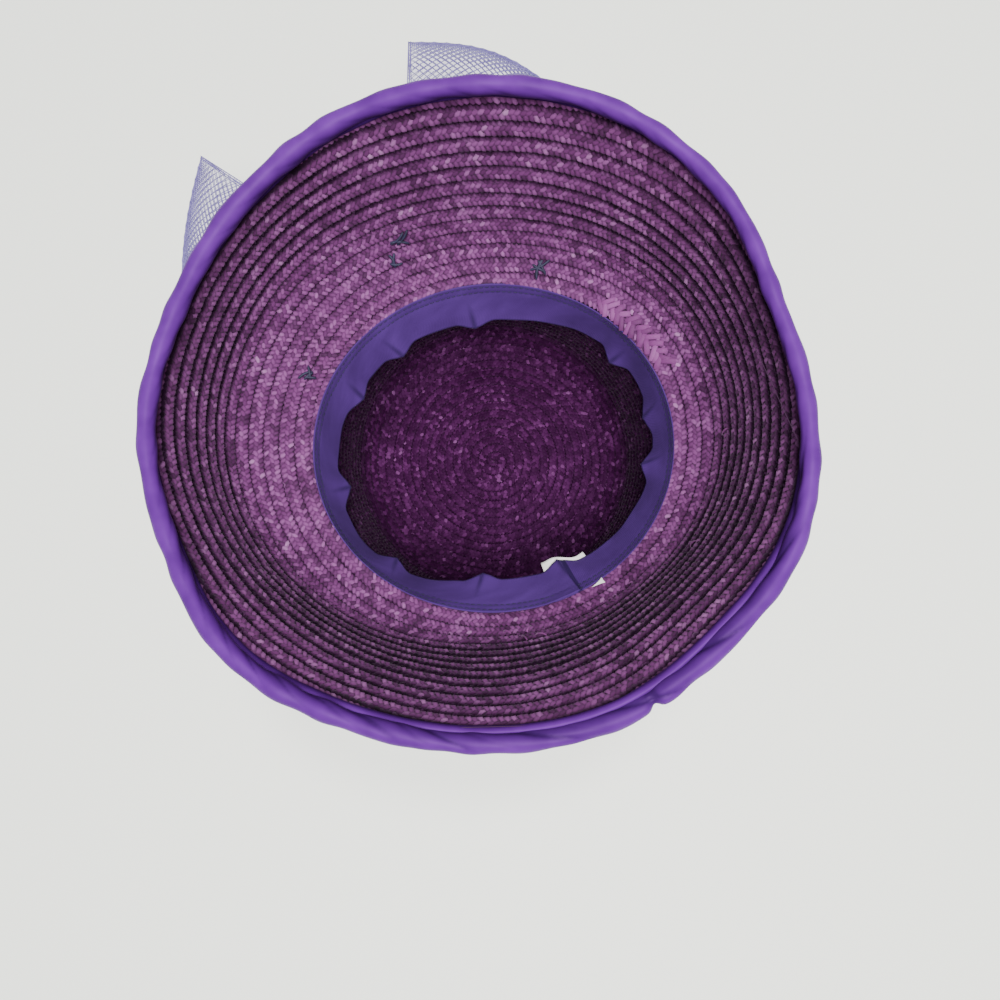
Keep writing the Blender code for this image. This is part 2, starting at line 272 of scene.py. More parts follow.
HEAD_MEAN_R = HEAD_GIRTH / (2 * math.pi)
HEAD_LONG_R = 2 * HEAD_MEAN_R / (1 + HEAD_OVAL)
HEAD_SHORT_R = 2 * HEAD_MEAN_R - HEAD_LONG_R
CROWN_TOP = OPENING_Z - STRAW_WALL - CLEARANCE
INNER_CORNER_R = TIP_CORNER_R - STRAW_WALL
CORNER_ARC = INNER_CORNER_R * math.pi / 2
CROWN_ARC = TIP_FLAT_R + CORNER_ARC + CROWN_TOP - TIP_CORNER_R


def oval(direction, outward):
    """Points of the head oval moved out along its normals, and those normals, as plan coordinates."""
    angle = np.radians(direction) - HEAD_TURN
    normal = unit(np.stack((np.cos(angle) / HEAD_LONG_R, np.sin(angle) / HEAD_SHORT_R), -1))
    point = np.stack((HEAD_LONG_R * np.cos(angle), HEAD_SHORT_R * np.sin(angle)), -1)
    point = point + normal * np.asarray(outward)[..., None]
    turn = np.array(((math.cos(HEAD_TURN), math.sin(HEAD_TURN)), (-math.sin(HEAD_TURN), math.cos(HEAD_TURN))))
    return point @ turn + HEAD_CENTRE, normal @ turn


def brim_value(name, direction):
    return read_round(BRIM_SECTIONS, BRIM_COLUMNS, name, direction)


def brim_width(direction):
    return BRIM_WIDTH * brim_value("width", direction)


def brim_slope(direction, arc):
    """The brim's slope, in radians, at a distance along it from the head opening."""
    wall = brim_value("wall_deg", direction)
    flare = brim_value("flare_deg", direction)
    turned_up = ease((arc - BRIM_WIDTH * brim_value("shoulder", direction)) / SHOULDER_EASE)
    flared = ease((arc - FLARE_START) / FLARE_EASE)
    return np.radians(SHOULDER_DEG + (wall - SHOULDER_DEG) * turned_up + (flare - wall) * flared)


def brim_grid(directions, arcs):
    """Points of the brim's inside at every direction and distance from the head opening."""
    directions = directions[:, None]
    slope = brim_slope(directions, (arcs[1:] + arcs[:-1])[None, :] / 2)
    out = np.cumsum(np.cos(slope) * np.diff(arcs), axis=1)
    up = np.cumsum(np.sin(slope) * np.diff(arcs), axis=1)
    start = np.searchsorted(arcs, 0.0)
    out = np.concatenate((np.zeros_like(directions), out), axis=1)
    up = np.concatenate((np.zeros_like(directions), up), axis=1)
    out -= out[:, start : start + 1]
    up -= up[:, start : start + 1]
    plan, _ = oval(directions + 0 * out, out)
    return np.concatenate((plan, (OPENING_Z + up)[..., None]), axis=-1)


def crown_grid(directions, arcs):
    """Points of the crown's inside at every direction and distance from the tip's centre."""
    arcs = arcs[None, :] + 0 * directions[:, None]
    angle = np.radians(directions)[:, None]
    turn = np.clip((arcs - TIP_FLAT_R) / INNER_CORNER_R, 0.0, math.pi / 2)
    height = np.maximum(arcs - TIP_FLAT_R - CORNER_ARC, 0.0)
    radius = np.minimum(arcs, TIP_FLAT_R) + INNER_CORNER_R * np.sin(turn)
    z = TIP_CORNER_R - INNER_CORNER_R * np.cos(turn) + height
    circle = np.stack((radius * np.cos(angle), radius * np.sin(angle)), -1)
    share = (height / (CROWN_TOP - TIP_CORNER_R))[..., None]
    plan = circle * (1 - share) + oval(directions[:, None] + 0 * arcs, 0 * arcs)[0] * share
    return np.concatenate((plan, z[..., None]), axis=-1)


class Surface:
    """A straw surface, known at a grid of directions and distances, and read smoothly between them."""

    def __init__(self, grid, first_arc, last_arc):
        self.first_arc = first_arc
        arcs = first_arc + ARC_STEP * np.arange(round((last_arc - first_arc) / ARC_STEP) + 1)
        self.points = grid(np.arange(0.0, 360.0, DIRECTION_STEP), arcs)
        around = np.roll(self.points, -1, 0) - np.roll(self.points, 1, 0)
        outward = np.gradient(self.points, axis=1)
        self.normals = unit(np.cross(outward, around))
        self.normals[:, 0] = self.normals[:, 1]
        self.per_degree = np.linalg.norm(around, axis=-1) / (2 * DIRECTION_STEP)

    def read(self, values, direction, arc):
        u = np.mod(direction, 360.0) / DIRECTION_STEP
        v = np.clip((arc - self.first_arc) / ARC_STEP, 0.0, values.shape[1] - 1.001)
        i = np.floor(u).astype(int)
        j = np.floor(v).astype(int)
        s, t = u - i, v - j
        if values.ndim == 3:
            s, t = s[..., None], t[..., None]
        i, k = i % values.shape[0], (i + 1) % values.shape[0]
        near = values[i, j] * (1 - s) + values[k, j] * s
        far = values[i, j + 1] * (1 - s) + values[k, j + 1] * s
        return near * (1 - t) + far * t

    def at(self, direction, arc, lift):
        """Points over the surface: lift is above zero towards the hat's inside."""
        lift = np.asarray(lift) + 0 * arc
        normals = self.read(self.normals, direction, arc)
        return self.read(self.points, direction, arc) + normals * lift[..., None]

    def walk(self, direction, arc, step):
        """Evenly spaced places along a line of directions and distances."""
        length = distances(self.at(direction, arc, 0.0), 0)
        marks = np.arange(0.0, length[-1], step)
        return np.interp(marks, length, direction), np.interp(marks, length, arc)


def new_object(name, data):
    made = bpy.data.objects.new(name, data)
    bpy.context.scene.collection.objects.link(made)
    return made


def new_piece(name, points, faces, finish, values=None):
    """A smooth piece from arrays of points and of four-sided faces, with named values at its points."""
    mesh = bpy.data.meshes.new(name)
    mesh.vertices.add(points.size // 3)
    mesh.vertices.foreach_set("co", np.asarray(points, np.float32).ravel())
    mesh.loops.add(faces.size)
    mesh.loops.foreach_set("vertex_index", np.asarray(faces, np.int32).ravel())
    mesh.polygons.add(faces.size // 4)
    mesh.polygons.foreach_set("loop_start", np.arange(0, faces.size, 4, dtype=np.int32))
    mesh.update(calc_edges=True)
    for key, value in (values or {}).items():
        kind, field = ("FLOAT", "value") if value.ndim == 1 else ("FLOAT_VECTOR", "vector")
        mesh.attributes.new(key, kind, "POINT").data.foreach_set(field, np.asarray(value, np.float32).ravel())
    mesh.shade_smooth()
    mesh.materials.append(finish)
    made = new_object(name, mesh)
    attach(made, "root")
    return made


def sheet_faces(rows, columns, wraps, closes=False):
    """The faces of a grid of points, closed round its columns if it wraps and round its rows if it closes."""
    last_row, last_column = rows if closes else rows - 1, columns if wraps else columns - 1
    i, j = np.meshgrid(np.arange(last_row), np.arange(last_column), indexing="ij")
    k, m = (j + 1) % columns, (i + 1) % rows
    return np.stack((i * columns + j, i * columns + k, m * columns + k, m * columns + j), -1).reshape(-1, 4)


def many_faces(rows, columns, wraps, count):
    """The faces of that many grids of points, one grid after another."""
    return sheet_faces(rows, columns, wraps)[None] + (np.arange(count) * rows * columns)[:, None, None]


def turned(a, b, angle):
    """Distances along and across something, turned by an angle, as distances round the hat and out."""
    return a * np.cos(angle) - b * np.sin(angle), a * np.sin(angle) + b * np.cos(angle)


def row_height(place, sizes):
    """A row's height over the wall's face, from its inner edge at -1, which lies on the next row, to 1."""
    edge = clamp((np.abs(place) - 0.9) / 0.2)
    return sizes["inner"] + (sizes["outer"] - sizes["inner"]) * (place + 1) / 2 - ROW_EDGE_FALL * edge


def plait(name, surface, direction, arc, sizes, inside, fit, finish):
    """Plaited straw along a line on a surface: columns of slanted strands, each row lapped over the next."""
    direction, arc = surface.walk(direction, arc, sizes["step"])
    columns = sizes["columns"]
    i = np.repeat(np.arange(len(direction)), columns)
    column = np.tile(np.arange(columns), len(direction))
    reach = sizes["width"] / 2
    offset = (-1 + (2 * column + 1) / columns) * reach
    first, last, _ = fit(direction[i], arc[i])
    shown = (arc[i] + offset > first) & (arc[i] + offset < last)
    i, column, offset = i[shown], column[shown], offset[shown][:, None, None]
    count = len(i)
    grid = np.array((-1.0, 0.0, 1.0))
    along, across = grid[None, :, None], grid[None, None, :]
    slant = np.radians(RANDOM.normal(STRAND_SLANT_DEG, STRAND_SPREAD["slant_deg"], count))[:, None, None]
    slant = slant * np.where(column % 2, -1, 1)[:, None, None]
    rounded = 1 - 0.10 * (along * across) ** 2
    long, wide = RANDOM.normal(1.0, STRAND_SPREAD["size"], (2, count))[:, :, None, None]
    a = STRAND_LENGTH / 2 * long * along * rounded
    b = STRAND_WIDTH / 2 * wide * across * rounded
    shift = RANDOM.normal(0.0, STRAND_SPREAD["place"], (2, count))[:, :, None, None]
    u, v = turned(a, b, slant)
    u = u + (column % 2)[:, None, None] * sizes["step"] / 2 + shift[0]
    v = v + offset + shift[1]
    side = 1 if inside else -1
    pillow = sizes["bulge"] * (1 - 1.5 * along**2 - 0.8 * across**2)
    uneven = RANDOM.normal(0.0, STRAND_SPREAD["height"], count)[:, None, None]
    height = row_height(side * v / reach, sizes) + pillow + uneven
    per_degree = np.maximum(surface.read(surface.per_degree, direction[i], arc[i]), 1e-5)[:, None, None]
    around = direction[i][:, None, None] + u / per_degree
    out = arc[i][:, None, None] + v
    first, last, pressed = fit(around, out)
    if inside:
        height = np.maximum(height * pressed, DEEPEST_STRAND)
    else:
        height = -STRAW_WALL + sizes["outside_in"] * pressed - height * pressed
    points = surface.at(around, np.clip(out, first, last), height)
    faces = many_faces(3, 3, False, count)
    faces = faces if inside else faces[:, :, ::-1]
    fibre = np.stack((a + i[:, None, None] * 0.013, b + i[:, None, None] * 0.0171 + 0 * a, 0 * (a + b)), -1)
    # Painted shade: darker where each row runs under the next, more so on upright walls and on the shaded
    # side of the hat, and at each strand's edges
    upright = 1 - np.abs(surface.read(surface.normals, direction[i], arc[i])[:, 2])
    steep_shade = (1.0 if inside else OUTSIDE_PAINTED_SHADE) * clamp((upright - 0.50) / 0.25)
    to_shaded_side = clamp(np.cos(np.radians(direction[i] - SHADED_SIDE_DEG)))
    steep_shade = (steep_shade * (1 + SHADED_SIDE_EXTRA_SHADE * to_shaded_side))[:, None, None]
    painted_shade = clamp((side * v / reach - 0.60 + sizes["shade"] * steep_shade) / (0.25 + 0.2 * steep_shade))
    seam = np.maximum(np.abs(along) ** 2, np.abs(across) ** 2) * STRAND_EDGE_PAINTED_SHADE
    values = {
        "dye": np.repeat(RANDOM.beta(*DYE_SPREAD, count), 9),
        "strand": fibre.reshape(-1, 3),
        "painted_shade": (sizes["depth"] * np.maximum(painted_shade, seam)).reshape(-1),
    }
    return new_piece(name, points, faces, finish, values)


def plait_core(name, surface, direction, arc, sizes, fit, finish):
    """The plait's body between its two faces: a lapped strip that closes the wall behind the strands."""
    direction, arc = surface.walk(direction, arc, 2 * sizes["step"])
    first, last, _ = fit(direction, arc)
    shown = (arc > first - sizes["width"] / 2) & (arc < last + sizes["width"] / 2)
    direction, arc = direction[shown][:, None], arc[shown][:, None]
    place = np.array((-1.0, -0.3, 0.4, 0.9, 1.12))[None, :]
    height = row_height(np.where(place > 1, -0.8, place), sizes) - CORE_UNDER
    out = arc + place * sizes["width"] / 2
    first, last, pressed = fit(direction + 0 * out, out)
    lift = (height + CORE_DEPTH) * pressed - CORE_DEPTH
    points = surface.at(direction + 0 * out, np.clip(out, first, last), lift)
    faces = sheet_faces(len(direction), place.size, False)
    new_piece(name, points, faces, finish)


def nodes_of(name, sockets):
    """A new material, its node tree and its shader, whose own sockets take the values given."""
    made = bpy.data.materials.new(name)
    made.use_nodes = True
    shader = made.node_tree.nodes["Principled BSDF"]
    for socket, value in sockets.items():
        shader.inputs[socket].default_value = value
    return made, made.node_tree, shader


def node(tree, kind, settings=None, links=None):
    """Adds a shader node, sets its settings and sockets, and links what feeds it."""
    made = tree.nodes.new(kind)
    for key, value in (settings or {}).items():
        if isinstance(key, str) and hasattr(made, key):
            setattr(made, key, value)
        else:
            made.inputs[key].default_value = value
    for key, source in (links or {}).items():
        tree.links.new(source, made.inputs[key])
    return made


def ramp(tree, factor, stops):
    """A colour ramp: stops are (place, colour)."""
    made = tree.nodes.new("ShaderNodeValToRGB")
    band = made.color_ramp
    while len(band.elements) < len(stops):
        band.elements.new(0.5)
    for element, (place, colour) in zip(band.elements, stops):
        element.position = place
        element.color = (*colour, 1.0)
    tree.links.new(factor, made.inputs["Fac"])
    return made.outputs["Color"]


def times(tree, colour, other):
    made = node(tree, "ShaderNodeMix", {"data_type": "RGBA", "blend_type": "MULTIPLY"})
    made.inputs["Factor"].default_value = 1.0
    tree.links.new(colour, made.inputs["A"])
    tree.links.new(other, made.inputs["B"])
    return made.outputs["Result"]


def value_of(tree, name, output="Fac"):
    return node(tree, "ShaderNodeAttribute", {"attribute_name": name}).outputs[output]


def paint(tree, shader, colour, painted_shade_from, painted_shade_to, deepest):
    """Gives the shader a colour that darkens towards the deepest painted shade where the points' shade value
    is high.
    """
    depth = ramp(tree, value_of(tree, "painted_shade"), ((painted_shade_from, (1.0, 1.0, 1.0)), (painted_shade_to, deepest)))
    tree.links.new(times(tree, colour, depth), shader.inputs["Base Color"])


def bump_of(tree, shader, height, strength, distance):
    bump = node(tree, "ShaderNodeBump", {"Strength": strength, "Distance": distance}, {"Height": height})
    tree.links.new(bump.outputs["Normal"], shader.inputs["Normal"])


def noise_of(tree, vector, scale, detail):
    settings = {"Scale": scale, "Detail": detail}
    return node(tree, "ShaderNodeTexNoise", settings, {"Vector": vector}).outputs["Fac"]


def threads_of(tree, vector, per_metre, detail):
    """Noise drawn out into threads: how fine it is along the cloth or strand, and across it."""
    settings = {"operation": "MULTIPLY", 1: (*per_metre, 1.0)}
    drawn_out = node(tree, "ShaderNodeVectorMath", settings, {0: vector}).outputs["Vector"]
    return noise_of(tree, drawn_out, 1.0, detail)


def cloud_of(tree, scale, detail):
    return noise_of(tree, node(tree, "ShaderNodeTexCoord").outputs["Object"], scale, detail)


def straw_material(name, stops, patch, gloss):
    """Dyed straw: each strand has its own share of dye, fine fibres run along it, and painted shade darkens
    it.
    """
    made, tree, shader = nodes_of(name, {
        "Roughness": 0.55,
        "Specular IOR Level": gloss,
        "Sheen Weight": 3 * gloss,
        "Sheen Roughness": 0.45,
        "Sheen Tint": (0.90, 0.85, 0.90, 1.0),
    })
    cloud = cloud_of(tree, scale=38.0, detail=3.0)
    shifted = node(tree, "ShaderNodeMath", {"operation": "MULTIPLY_ADD", 1: patch, 2: -patch / 2}, {0: cloud})
    share = node(
        tree, "ShaderNodeMath", {"operation": "ADD"}, {0: value_of(tree, "dye"), 1: shifted.outputs["Value"]}
    )
    colour = ramp(tree, share.outputs["Value"], stops)
    fibre = threads_of(tree, value_of(tree, "strand", "Vector"), (700.0, 9000.0), detail=2.0)
    colour = times(tree, colour, ramp(tree, fibre, ((0.25, (0.74, 0.74, 0.74)), (0.75, (1.2, 1.2, 1.2)))))
    paint(tree, shader, colour, 0.30, 0.95, (0.13, 0.09, 0.14))
    bump_of(tree, shader, fibre, strength=0.35, distance=0.0001)
    return made


def satin_material():
    """Violet satin: a smooth sheen with faint threads, darkened by painted shade in its creases."""
    made, tree, shader = nodes_of("violet_satin", {
        "Roughness": 0.46,
        "Specular IOR Level": 0.16,
        "Specular Tint": (0.70, 0.35, 1.0, 1.0),
        "Sheen Weight": 0.03,
        "Sheen Roughness": 0.35,
        "Sheen Tint": (0.60, 0.35, 1.0, 1.0),
    })
    cloth = value_of(tree, "cloth", "Vector")
    thread = threads_of(tree, cloth, (300.0, 6000.0), detail=2.0)
    cloud = cloud_of(tree, scale=90.0, detail=2.0)
    colour = ramp(tree, cloud, ((0.3, (0.068, 0.011, 0.150)), (0.7, (0.096, 0.017, 0.205))))
    paint(tree, shader, colour, 0.0, 1.0, (0.30, 0.34, 0.34))
    bump_of(tree, shader, thread, strength=0.12, distance=0.00008)
    return made


def ribbon_material():
    """Blue-violet grosgrain: ribs across its width, worn a little lighter in places, dark with painted shade
    in its creases.
    """
    made, tree, shader = nodes_of("violet_grosgrain", {
        "Roughness": 0.80,
        "Specular IOR Level": 0.20,
        "Sheen Weight": 0.05,
        "Sheen Tint": (0.55, 0.40, 1.0, 1.0),
    })
    cloth = value_of(tree, "cloth", "Vector")
    split = node(tree, "ShaderNodeSeparateXYZ", {}, {"Vector": cloth})
    per_metre = {"operation": "MULTIPLY", 1: 2 * math.pi / RIB_PITCH}
    turns = node(tree, "ShaderNodeMath", per_metre, {0: split.outputs["X"]}).outputs["Value"]
    rib = node(tree, "ShaderNodeMath", {"operation": "SINE"}, {0: turns}).outputs["Value"]
    cloud = threads_of(tree, cloth, (60.0, 60.0), detail=3.0)
    weave = threads_of(tree, cloth, (4000.0, 2500.0), detail=1.0)
    colour = ramp(tree, cloud, ((0.30, (0.050, 0.015, 0.122)), (0.72, (0.076, 0.025, 0.182))))
    colour = times(tree, colour, ramp(tree, rib, ((0.0, (0.80, 0.80, 0.82)), (0.6, (1.0, 1.0, 1.0)))))
    colour = times(tree, colour, ramp(tree, weave, ((0.3, (0.86, 0.86, 0.88)), (0.7, (1.1, 1.1, 1.1)))))
    paint(tree, shader, colour, 0.0, 1.0, (0.22, 0.22, 0.30))
    bump_of(tree, shader, rib, strength=0.35, distance=0.00012)
    return made


def tape_material():
    """Off-white woven tape."""
    made, tree, shader = nodes_of("white_tape", {"Roughness": 0.7})
    cloth = value_of(tree, "cloth", "Vector")
    weave = threads_of(tree, cloth, (2500.0, 2500.0), detail=2.0)
    colour = ramp(tree, weave, ((0.25, (0.62, 0.62, 0.58)), (0.75, (0.80, 0.80, 0.76))))
    tree.links.new(colour, shader.inputs["Base Color"])
    bump_of(tree, shader, weave, strength=0.3, distance=0.0001)
    return made


def thread_material(name, dark, light, roughness, alpha=1.0):
    """Threads of one colour with soft changes along them."""
    made, tree, shader = nodes_of(name, {"Roughness": roughness, "Alpha": alpha})
    cloud = cloud_of(tree, scale=400.0, detail=2.0)
    tree.links.new(ramp(tree, cloud, ((0.3, dark), (0.7, light))), shader.inputs["Base Color"])
    return made


def plain_material(name, colour, roughness):
    return nodes_of(name, {"Base Color": (*colour, 1.0), "Roughness": roughness})[0]


brim = Surface(brim_grid, -0.006, 0.112)
crown = Surface(crown_grid, 0.0, CROWN_ARC)

brim_straw = straw_material(
    "brim_straw",
    (
        (0.0, (0.044, 0.011, 0.043)),
        (0.35, (0.098, 0.023, 0.095)),
        (0.65, (0.160, 0.045, 0.155)),
        (0.88, (0.218, 0.075, 0.212)),
        (1.0, (0.300, 0.135, 0.290)),
    ),
    patch=0.45,
    gloss=0.06,
)
# The crown's straw: the brim's straw made much darker, which stands in part for painted shade in the crown's
# dim inside
crown_straw = straw_material(
    "crown_straw",
    (
        (0.0, (0.016, 0.001, 0.016)),
        (0.40, (0.027, 0.0025, 0.027)),
        (0.70, (0.048, 0.0065, 0.048)),
        (0.88, (0.080, 0.016, 0.080)),
        (1.0, (0.140, 0.045, 0.140)),
    ),
    patch=0.45,
    gloss=0.03,
)
# The plait's body and the tip's centre are painted dark: painted shade seen through the gaps between strands
straw_shadow = plain_material("straw_shadow", (0.030, 0.005, 0.030), 0.9)
satin = satin_material()
grosgrain = ribbon_material()
white_tape = tape_material()
navy_thread = thread_material("navy_thread", (0.006, 0.005, 0.022), (0.016, 0.014, 0.050), 0.7)


def straw_wall(name, *run, fit, finish):
    """Both faces of a plaited wall and the body between them, dark with painted shade, in place of one CAD
    node.
    """
    inside = plait(name + "_plait_inside", *run, True, fit, finish)
    plait(name + "_plait_outside", *run, False, fit, finish)
    plait_core(name + "_core", *run, fit, straw_shadow)
    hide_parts(name)


# The brim's spiral, from the head opening out to its edge
EDGE_PRESS = 0.0045
turns = np.arange(0.0, 16.0, 1 / 360)
brim_direction = BRAID_END_DEG - 360.0 * turns
brim_arc = BRIM_PLAIT["pitch"] * (FIRST_ROW + turns + smooth_round(ROW_WANDER, brim_direction))


def brim_fit(direction, arc):
    """Where the brim's straw starts and ends, and its share of relief by the binding and the band."""
    last = brim_width(direction) - 0.0002
    pressed = 0.12 + 0.88 * clamp((last - arc) / EDGE_PRESS - 0.4)
    return 0 * direction - 0.0012, last, pressed * (0.35 + 0.65 * clamp(arc / 0.004))


straw_wall("brim", brim, brim_direction, brim_arc, BRIM_PLAIT, fit=brim_fit, finish=brim_straw)

# The crown's spiral, from the tip's centre up to the head opening
BEHIND_BAND = 0.022
turns = np.arange(0.20, CROWN_ARC / CROWN_PLAIT["pitch"] + 1.0, 1 / 360)
crown_direction = -360.0 * turns
crown_arc = CROWN_PLAIT["pitch"] * turns


def crown_fit(direction, arc):
    """Where the crown's straw starts and ends, and its share of relief behind the sweatband."""
    pressed = 0.15 + 0.85 * clamp((CROWN_ARC - 0.006 - arc) / (BEHIND_BAND - 0.006))
    return 0 * direction + 0.0004, 0 * direction + CROWN_ARC - 0.0003, pressed


straw_wall("crown", crown, crown_direction, crown_arc, CROWN_PLAIT, fit=crown_fit, finish=crown_straw)
TIP_BUTTON_R = 0.004
button_place = np.array((0.0001, 0.5, 1.0))[:, None] * TIP_BUTTON_R
button = crown.at(np.arange(0.0, 360.0, 15.0)[None, :] + 0 * button_place, button_place, -STRAW_WALL / 2)
new_piece("tip_button", button, sheet_faces(*button.shape[:2], True), straw_shadow)


def edge_frame(direction):
    """The middle of the brim's edge, the way on past the edge, and the way to the brim's outside."""
    width = brim_width(direction)
    slope = brim_slope(direction, width)
    _, normal = oval(direction, 0 * direction)
    middle = brim.at(direction, width, -STRAW_WALL / 2)
    onward = np.concatenate((normal * np.cos(slope)[:, None], np.sin(slope)[:, None]), 1)
    outside = np.concatenate((normal * np.sin(slope)[:, None], -np.cos(slope)[:, None]), 1)
    return middle, onward, outside


def cloth_values(points, painted_shade):
    """Distances along and across a grid of cloth, for its threads, and how dark its painted shade is."""
    along = distances(points, 1)
    cloth = np.stack((along, distances(points, 0), 0 * along), -1)
    return {"cloth": cloth.reshape(-1, 3), "painted_shade": (painted_shade + 0 * along).reshape(-1)}


def cloth_sheet(name, points, wraps, finish, painted_shade=0.0, thickness=0.0, closes=False):
    """A grid of cloth, closed round its columns if it wraps and its rows if it closes, with a thickness."""
    faces = sheet_faces(points.shape[0], points.shape[1], wraps, closes)
    made = new_piece(name, points, faces, finish, cloth_values(points, painted_shade))
    if thickness:
        solid = made.modifiers.new("thickness", "SOLIDIFY")
        solid.thickness = thickness
        solid.offset = 0.0
    return made


def waves(direction, counts):
    """Slow uneven waves round the hat, between about -1 and 1."""
    total = 0.0
    for count in counts:
        total = total + np.sin(np.radians(direction) * count + RANDOM.uniform(0, 2 * math.pi)) / len(counts)
    return total


def binding():
    """Thin satin folded over the brim's edge, its inner edge a little uneven."""
    direction = np.arange(0.0, 360.0, 0.75)
    middle, onward, outside = edge_frame(direction)
    width = brim_width(direction)
    inner = BINDING_INSIDE + BINDING_UNEVEN * (1 + waves(direction, (11, 23, 37)))
    rows = [brim.at(direction, width - inner, 0.0001), brim.at(direction, width - inner + 0.0004, 0.0009)]
    half = STRAW_WALL / 2 + BINDING_OVER_EDGE
    for turn in np.radians((-90.0, -55.0, -20.0, 20.0, 55.0, 90.0)):
        rows.append(middle + onward * half * math.cos(turn) + outside * half * math.sin(turn))
    for share in (0.35, 0.7, 1.0):
        lift = -STRAW_WALL - BINDING_OVER_OUTSIDE - 0.0002 * waves(direction, (17, 29))
        rows.append(brim.at(direction, width - BINDING_OUTSIDE * share, lift))
    # Painted shade on each row of the binding, lessened where the lip stands clear of the roll, as painted
    # light
    lip_painted_light = clamp(1.3 - np.abs(direction - PAINTED_LIGHT_LIP_DEG) / PAINTED_LIGHT_LIP_HALF_DEG)
    painted_shade = np.array(BINDING_PAINTED_SHADES)[:, None] * (1.0 - 0.55 * lip_painted_light)
    made = cloth_sheet("satin_binding", np.array(rows), True, satin, painted_shade)
    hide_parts("edge_binding")


def twist(angle, along, whole, sizes):
    """Folds that wind along the roll, whose run is whole: 1 on their backs and 0 in the creases."""
    lead = whole / round(whole / sizes["lead"])
    turn = sizes["folds"] * (angle / (2 * math.pi) - along / lead)
    place = turn - np.floor(turn)
    return (4 * place * (1 - place)) ** 0.55


def roll():
    """The padded satin roll, twisted so that folds wind round it, with one pinched seam."""
    direction = np.linspace(0.0, 360.0, 900, endpoint=False)
    middle, onward, outside = edge_frame(direction)
    radius = ROLL_R * read_round(ROLL_SECTIONS, ROLL_COLUMNS, "radius", direction)
    lean = np.radians(read_round(ROLL_SECTIONS, ROLL_COLUMNS, "lean_deg", direction))
    away = onward * np.cos(lean)[:, None] + outside * np.sin(lean)[:, None]
    pinch = np.exp(-(((direction - ROLL_SEAM_DEG) / ROLL_PINCH_HALF_DEG) ** 2))
    centre = middle + away * (STRAW_WALL / 2 + radius * (ROLL_SEAT - 0.25 * pinch))[:, None]
    onto = unit(np.roll(centre, -1, 0) - np.roll(centre, 1, 0))
    side = np.cross(onto, away)
    along = distances(centre, 0)
    angle = np.linspace(0.0, 2 * math.pi, 32, endpoint=False)[:, None]
    stretch = along + ROLL_FOLD_WANDER * waves(direction, (5, 9, 13))
    whole = along[-1] + np.linalg.norm(centre[0] - centre[-1])
    share = smooth_round(LONG_TWIST_SHARES, direction)
    fine, long = (twist(angle, stretch, whole, sizes) for sizes in (FINE_TWIST, LONG_TWIST))
    fold = fine * (1 - share) + long * share
    facing = np.cos(angle - math.radians(ROLL_CREASED_DEG))
    inward = clamp(0.5 + 0.9 * facing)
    twisted = 0.45 + 1.45 * share
    strength = (0.01 + ROLL_FOLD_DEPTH * inward) * twisted
    swell = 1 + ROLL_SWELL * waves(direction, (19, 31, 43)) - ROLL_PINCH * pinch
    outline = 1 + ROLL_UNEVEN * waves(direction, (37, 53, 61))
    size = radius * swell * outline * (1.08 - strength * (1 - fold))
    around = away[None] * np.cos(angle)[:, :, None] + side[None] * np.sin(angle)[:, :, None]
    points = centre[None] + around * size[:, :, None]
    # Painted shade: in the creases between the folds, over the roll's shaded side and at the pinched seam
    creased = np.maximum(1 - fold, 0.0) ** 1.5 * (0.12 + 0.85 * inward) * np.minimum(twisted, 1.0)
    painted_shade = clamp(creased + 0.60 * np.maximum(facing, 0.0) + 0.8 * pinch)
    made = cloth_sheet("satin_roll", points, True, satin, painted_shade, closes=True)
    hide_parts("edge_roll")
    return made


roll()
binding()


def band_fold(direction):
    """How far the free edge is folded in at this direction, as a share of the ribbon's width."""
    inward = 0.0
    for fold in table(FOLD_COLUMNS, BAND_FOLDS):
        off = np.mod(direction - fold["direction"] + 180.0, 360.0) - 180.0
        near = np.abs(off) < fold["half_deg"]
        inward = inward + near * fold["depth"] * (1 + np.cos(math.pi * off / fold["half_deg"])) / 2
    return inward


def band_creases(direction, down):
    """The sweatband's sharp creases, 1 on their lines, each slanted and fading towards the stitches."""
    creased = 0.0 * direction * down
    for number, fold in enumerate(table(FOLD_COLUMNS, BAND_FOLDS)):
        slant = (4.5, -3.0, 2.0)[number % 3]
        off = np.mod(direction - fold["direction"] - slant * (1 - down) + 180.0, 360.0) - 180.0
        creased = creased + np.exp(-((off / CREASE_HALF_DEG) ** 2)) * clamp(down * 2.2 - 0.75)
    return clamp(creased)


def band_point(direction, down, lift):
    """Points on the sweatband's inner face: down is 0 at the stitched edge and 1 at the free edge."""
    wall, normal = oval(direction, 0 * direction)
    angle = np.radians(direction)
    rim = (TIP_FLAT_R + INNER_CORNER_R) * np.stack((np.cos(angle), np.sin(angle)), -1)
    crown_lean = ((wall - rim) * normal).sum(-1) * BAND_WIDTH / (CROWN_TOP - TIP_CORNER_R)
    lean = crown_lean + BAND_WIDTH * read_round(BAND_LEAN, BAND_COLUMNS, "lean", direction)
    drop = np.sqrt(BAND_WIDTH**2 - lean**2)
    tilt = np.arctan2(lean, drop)
    inset = CLEARANCE + RIBBON_WALL + lean * down + BAND_WIDTH * band_fold(direction) * down**2
    plan, _ = oval(direction, -inset - lift * np.cos(tilt))
    return np.concatenate((plan, (OPENING_Z - drop * down + lift * np.sin(tilt))[..., None]), -1)


